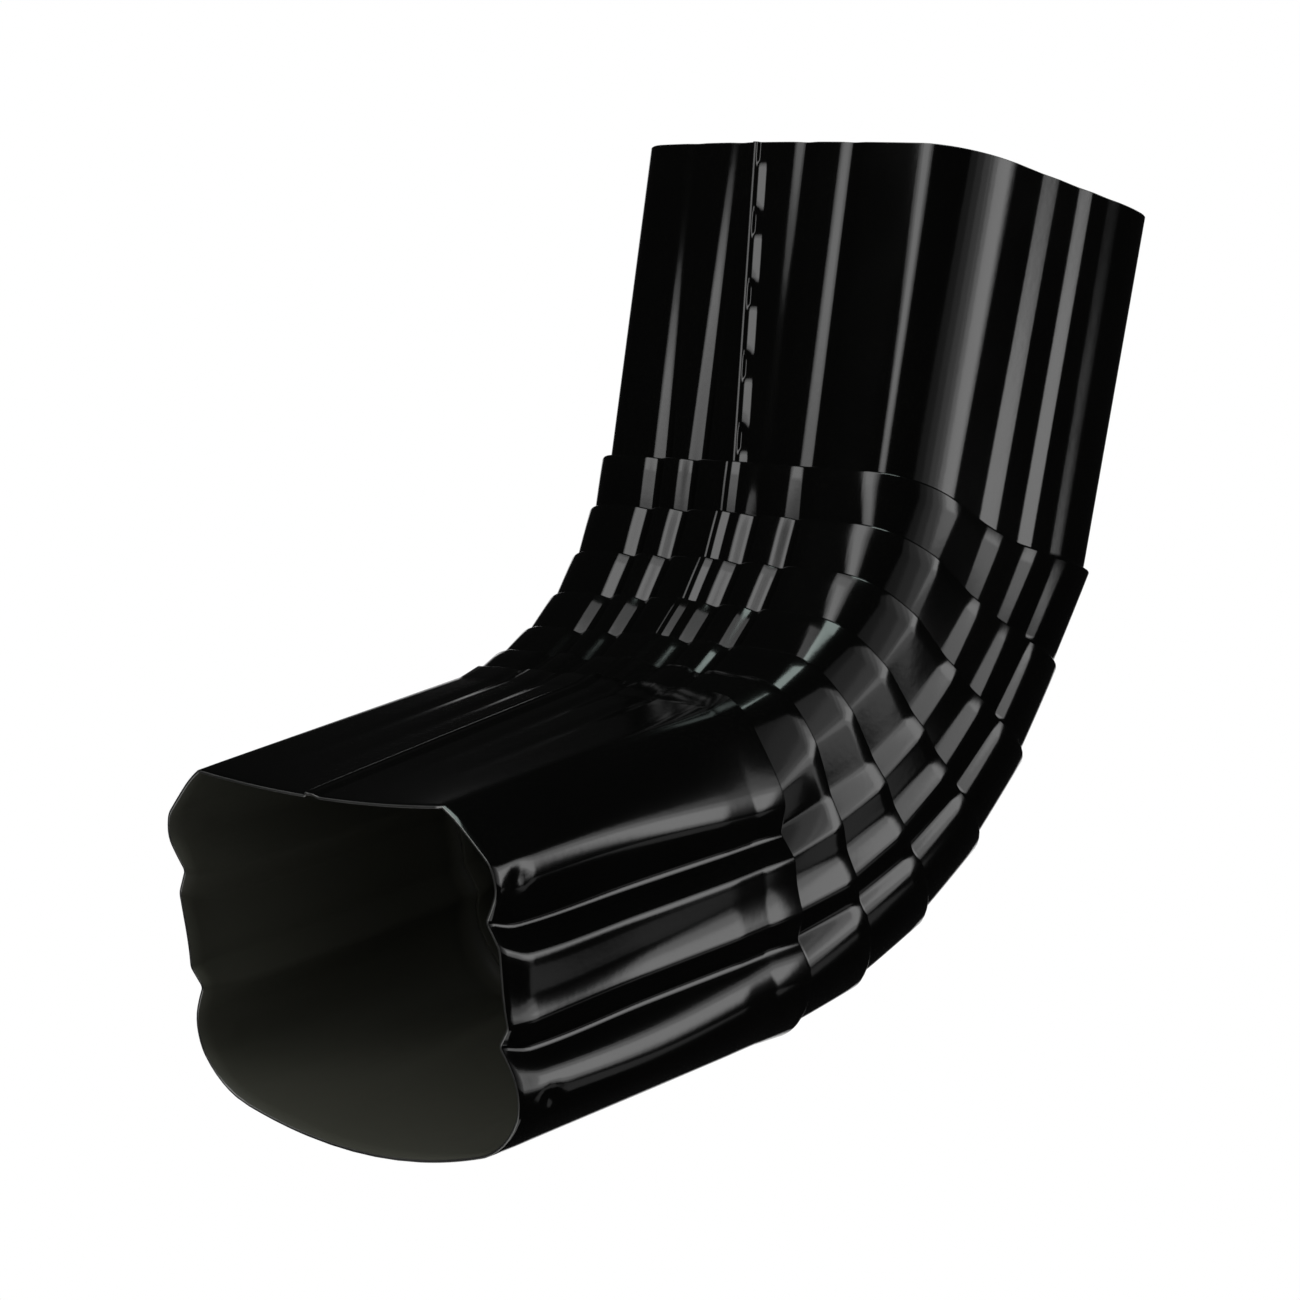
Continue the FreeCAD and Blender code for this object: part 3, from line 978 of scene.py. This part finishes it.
def rolled_sheet() -> bpy.types.NodeTree:
    """Group of rolled, painted sheet: waves of the rolling, orange peel and fine dust.

    Waves are noise on the unrolled sheet, drawn out along the tube. Orange peel, dust and gloss
    are noise in the object's own space. Height is waves x Wave + peel x Peel. Dust is the fine
    noise's upper part, thicker in some patches than in others, x Dust amount. Gloss is the
    patches alone.

    Returns:
        the group, with outputs Height, Dust and Gloss.
    """
    name = "rolled sheet"
    if name in bpy.data.node_groups:
        return bpy.data.node_groups[name]
    tree = bpy.data.node_groups.new(name, "ShaderNodeTree")
    face = tree.interface
    for label, value in (("Wave", 1.0), ("Peel", 1.0), ("Dust amount", 0.5)):
        socket = face.new_socket(name=label, in_out="INPUT", socket_type="NodeSocketFloat")
        socket.default_value = value
    for label in ("Height", "Dust", "Gloss"):
        face.new_socket(name=label, in_out="OUTPUT", socket_type="NodeSocketFloat")
    n = Nodes(tree)
    given, out = n.add("NodeGroupInput"), n.add("NodeGroupOutput")
    unrolled = n.add("ShaderNodeUVMap", uv_map="sheet").outputs[0]
    own = n.add("ShaderNodeTexCoord").outputs["Object"]
    waves = n.noise(unrolled, Grain(60.0, 1.0, stretch=(1.0, 0.35, 1.0)))
    peel = n.noise(own, Grain(700.0, 2.0))
    fine = n.noise(own, Grain(2600.0, 4.0))
    patch = n.noise(own, Grain(38.0, 4.0))
    height = n.maths("ADD", n.maths("MULTIPLY", waves, given.outputs["Wave"]),
                     n.maths("MULTIPLY", peel, given.outputs["Peel"]))
    dust = n.maths("MULTIPLY", n.span(fine, 0.5, 0.75, 0.0, 1.0), n.span(patch, 0.4, 0.7, 0.2, 1.0))
    dust = n.maths("MULTIPLY", dust, given.outputs["Dust amount"])
    n.join(height, out.inputs["Height"])
    n.join(dust, out.inputs["Dust"])
    n.join(n.span(patch, 0.3, 0.7, 0.0, 1.0), out.inputs["Gloss"])
    return tree


@dataclass(frozen=True)
class Finish:
    """A finish of the sheet on a Principled shader.

    Args:
        name: name of the material.
        colour: its plain colour.
        dusty: colour of the dust on it.
        rough: roughness where it is glossiest and where it is dullest.
        metallic: 1 for bare metal.
        specular: level of the shader's reflection.
        wave: height of the rolling's waves.
        peel: height of the orange peel.
        bump: distance of the bump in metres.
        dust: how much dust lies on it.
    """

    name: str
    colour: tuple[float, float, float]
    dusty: tuple[float, float, float]
    rough: tuple[float, float]
    metallic: float = 0.0
    specular: float = 0.5
    wave: float = 1.0
    peel: float = 0.02
    bump: float = 0.0003
    dust: float = 0.5

    def material(self) -> bpy.types.Material:
        """Make the material: group values into colour, roughness and bump height.

        Returns:
            the material.
        """
        material = bpy.data.materials.new(self.name)
        material.use_nodes = True
        n = Nodes(material.node_tree)
        shader = material.node_tree.nodes["Principled BSDF"]
        sheet = n.add("ShaderNodeGroup", node_tree=rolled_sheet())
        sheet.inputs["Wave"].default_value = self.wave
        sheet.inputs["Peel"].default_value = self.peel
        sheet.inputs["Dust amount"].default_value = self.dust
        mix = n.add("ShaderNodeMix", data_type="RGBA")
        # A Mix node has its two colours behind the values and vectors that it could also mix
        share, clean, dusty = (mix.inputs[k] for k in (0, 6, 7))
        clean.default_value = (*self.colour, 1.0)
        dusty.default_value = (*self.dusty, 1.0)
        n.join(sheet.outputs["Dust"], share)
        n.join(mix.outputs[2], shader.inputs["Base Color"])
        low, high = self.rough
        n.join(n.span(sheet.outputs["Gloss"], 0.0, 1.0, low, high), shader.inputs["Roughness"])
        bump = n.add("ShaderNodeBump")
        bump.inputs["Strength"].default_value = 1.0
        bump.inputs["Distance"].default_value = self.bump
        n.join(sheet.outputs["Height"], bump.inputs["Height"])
        n.join(bump.outputs[0], shader.inputs["Normal"])
        shader.inputs["Metallic"].default_value = self.metallic
        shader.inputs["Specular IOR Level"].default_value = self.specular
        return material


def gloss_paint() -> Finish:
    """Glossy black paint of the outside."""
    return Finish("gloss paint", (0.002, 0.002, 0.0019), (0.008, 0.008, 0.007), (0.1, 0.14),
                  wave=0.1)


def back_coat() -> Finish:
    """Thin olive-grey coat of the inside."""
    return Finish("back coat", (0.05, 0.051, 0.04), (0.06, 0.06, 0.05), (0.42, 0.55),
                  specular=0.3, wave=0.1)


def cut_edge() -> Finish:
    """Bare metal of the cut rims."""
    return Finish("cut edge", (0.2, 0.2, 0.195), (0.08, 0.08, 0.075), (0.35, 0.5),
                  metallic=1.0, wave=0.1)


@dataclass(frozen=True)
class SoftBox:
    """One soft lamp, placed by the way in which it is seen from the elbow.

    Args:
        name: name of the lamp.
        azimuth: its bearing from +X towards +Y in degrees.
        elevation: its height over the horizon in degrees.
        width: its size across in metres.
        height: its size upwards in metres.
        level: its brightness in a mirror, where 1 is white.
        distance: how far it stands away.
        tint: colour of its light.
    """

    name: str
    azimuth: float
    elevation: float
    width: float
    height: float
    level: float
    distance: float = 1.5
    tint: tuple[float, float, float] = (1.0, 1.0, 1.0)

    def build(self, middle: np.ndarray) -> bpy.types.Object:
        """Place the lamp so that it faces the middle of the elbow.

        A lamp of BOX_WATTS per square metre shows as white in a mirror.

        Args:
            middle: the place it faces, in metres.

        Returns:
            the lamp's object.
        """
        lamp = bpy.data.lights.new(self.name, "AREA")
        lamp.shape = "RECTANGLE"
        lamp.size, lamp.size_y = self.width, self.height
        lamp.energy = BOX_WATTS * self.width * self.height * self.level
        lamp.color = self.tint
        a, e = math.radians(self.azimuth), math.radians(self.elevation)
        back = np.array([math.cos(e) * math.cos(a), math.cos(e) * math.sin(a), math.sin(e)])
        up = np.array([0.0, 0.0, 1.0])
        right = np.cross(up, back)
        right /= np.linalg.norm(right)
        thing = bpy.data.objects.new(self.name, lamp)
        thing.visible_camera = False
        turned_stand(thing, right, np.cross(back, right), back, middle + back * self.distance)
        bpy.context.scene.collection.objects.link(thing)
        return thing


def turned_stand(thing: bpy.types.Object, right: np.ndarray, up: np.ndarray,
                 back: np.ndarray, place: np.ndarray) -> None:
    """Stand a lamp or camera by its three axes and its place.

    Args:
        thing: the lamp or camera.
        right: its way to the right, of length 1.
        up: its way upwards, of length 1.
        back: the way against its view, of length 1.
        place: where it stands, in metres.
    """
    matrix = np.eye(4)
    matrix[:3, :4] = np.stack([right, up, back, place], axis=1)
    thing.matrix_world = Matrix(matrix.tolist())


@dataclass(frozen=True)
class Studio:
    """White studio with a pale floor, soft boxes and the photograph's camera.

    Args:
        floor_drop: how far the floor lies under the inlet rim, in metres.
        floor_size: side of the floor in metres.
        floor_lift: what the floor's brightness lacks to that of the white room.
        room: brightness of the room for diffuse light.
        dark: brightness of the room in reflections away from the backdrop.
        backdrop: half angle of the backdrop's soft edge, outer and inner, in degrees.
        boxes: the soft boxes.
        aim: the place that they face.
        spot: where the camera stands.
        forward: the way in which it looks.
        upward: its way upwards.
        focal_pixels: its focal length over the side of one picture point.
        picture: side of the photograph in points.
        film: side of the film in millimetres.
        clip: nearest and farthest distance that it shows.
    """

    floor_drop: float = 3.0
    floor_size: float = 4.0
    floor_lift: float = 0.46
    room: float = 0.5
    dark: float = 0.01
    backdrop: tuple[float, float] = (20.0, 14.0)
    boxes: tuple[SoftBox, ...] = (
        SoftBox("side wide", 121.0, 11.0, 0.69, 1.03, 0.8),
        SoftBox("side middle", 123.0, 11.0, 0.52, 0.8, 0.8),
        SoftBox("side core", 125.0, 11.0, 0.32, 0.5, 1.0),
        SoftBox("fill wide", 94.0, 11.0, 0.72, 1.03, 0.14),
        SoftBox("fill middle", 99.0, 11.0, 0.48, 1.03, 0.16),
        SoftBox("fill core", 104.0, 11.0, 0.26, 1.03, 0.3),
        SoftBox("front wide", -8.0, 28.0, 0.97, 1.95, 0.9),
        SoftBox("front middle", -8.0, 26.0, 0.68, 1.5, 0.9),
        SoftBox("front core", -8.0, 24.0, 0.4, 1.05, 0.9),
        SoftBox("low card", 138.0, -15.0, 0.3, 0.3, 0.25),
        SoftBox("high window", 26.0, 66.0, 0.6, 0.56, 4.0, tint=(0.84, 1.0, 0.95)),
    )
    aim: tuple[float, float, float] = (0.03, 0.0, -0.09)
    spot: tuple[float, float, float] = (0.5896805, 0.5114655, -0.1393764)
    forward: tuple[float, float, float] = (-0.7271379, -0.6840349, 0.0580232)
    upward: tuple[float, float, float] = (0.1508524, -0.076757, 0.9855719)
    focal_pixels: float = 4187.838
    picture: int = 1300
    film: float = 36.0
    clip: tuple[float, float] = (0.01, 50.0)

    def world(self) -> None:
        """White backdrop for camera, glossy and transmission rays, plain grey diffuse room.

        Camera rays see white all round. Glossy and transmission rays see it where the backdrop
        stands, behind the elbow as seen from the camera, and the dark room elsewhere.
        """
        world = bpy.data.worlds.new("studio")
        bpy.context.scene.world = world
        world.use_nodes = True
        n = Nodes(world.node_tree)
        background = world.node_tree.nodes["Background"]
        path = n.add("ShaderNodeLightPath")
        way = n.add("ShaderNodeTexCoord").outputs["Generated"]
        near = n.add("ShaderNodeVectorMath", operation="DOT_PRODUCT")
        n.join(way, near.inputs[0])
        near.inputs[1].default_value = self.forward
        outer, inner = (math.cos(math.radians(angle)) for angle in self.backdrop)
        stand = n.span(near.outputs["Value"], outer, inner, 0.0, 1.0)
        shown = n.maths("MAXIMUM", path.outputs["Is Glossy Ray"],
                        path.outputs["Is Transmission Ray"])
        white = n.maths("MAXIMUM", n.maths("MULTIPLY", shown, stand),
                        path.outputs["Is Camera Ray"])
        level = n.maths("MULTIPLY", path.outputs["Is Diffuse Ray"], self.room)
        level = n.maths("MAXIMUM", n.maths("MAXIMUM", level, white), self.dark)
        n.join(level, background.inputs["Strength"])
        background.inputs["Color"].default_value = (1.0, 1.0, 1.0, 1.0)

    def floor(self) -> bpy.types.Object:
        """A flat pale floor, as one square face.

        What it lacks to white is added as emission for camera, glossy and transmission rays
        alone, so that it lights nothing and still keeps a shadow.

        Returns:
            the floor.
        """
        half = self.floor_size / 2
        corners = np.array([[-half, -half], [half, -half], [half, half], [-half, half]])
        points = np.column_stack([corners, np.full(4, -self.floor_drop)])
        mesh = bpy.data.meshes.new("floor")
        mesh.from_pydata(points.tolist(), [], [(0, 1, 2, 3)])
        thing = bpy.data.objects.new("floor", mesh)
        bpy.context.scene.collection.objects.link(thing)
        material = bpy.data.materials.new("pale floor")
        material.use_nodes = True
        n = Nodes(material.node_tree)
        shader = material.node_tree.nodes["Principled BSDF"]
        shader.inputs["Base Color"].default_value = (0.85, 0.85, 0.85, 1.0)
        shader.inputs["Roughness"].default_value = 0.9
        shader.inputs["Specular IOR Level"].default_value = 0.0
        shader.inputs["Emission Color"].default_value = (1.0, 1.0, 1.0, 1.0)
        path = n.add("ShaderNodeLightPath")
        seen = n.maths("MAXIMUM", path.outputs["Is Glossy Ray"],
                       path.outputs["Is Transmission Ray"])
        seen = n.maths("MAXIMUM", seen, path.outputs["Is Camera Ray"])
        n.join(n.maths("MULTIPLY", seen, self.floor_lift), shader.inputs["Emission Strength"])
        mesh.materials.append(material)
        return thing

    def camera(self) -> bpy.types.Object:
        """The camera at the photograph's place, solved from the elbow's outline.

        Its focal length is focal_pixels / picture x film.

        Returns:
            the camera's object.
        """
        camera = bpy.data.cameras.new("camera")
        camera.sensor_width = self.film
        camera.lens = self.focal_pixels / self.picture * self.film
        camera.clip_start, camera.clip_end = self.clip
        thing = bpy.data.objects.new("camera", camera)
        back = -np.array(self.forward)
        up = np.array(self.upward)
        turned_stand(thing, np.cross(up, back), up, back, np.array(self.spot))
        bpy.context.scene.collection.objects.link(thing)
        bpy.context.scene.camera = thing
        return thing

    def build(self) -> None:
        """Set up room, floor, lamps and camera."""
        self.world()
        self.floor()
        for box in self.boxes:
            box.build(np.array(self.aim))
        self.camera()
        bpy.context.scene.view_settings.view_transform = "Standard"


def main() -> None:
    """Build the elbow and its studio."""
    logging.basicConfig(level=logging.INFO, format="%(message)s")
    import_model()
    piece = Elbow().build()
    LOG.info("%s: %d faces", piece.name, len(piece.data.polygons))
    studio = Studio()
    studio.build()
    LOG.info("studio: %d soft boxes", len(studio.boxes))


if __name__ == "__main__":
    main()
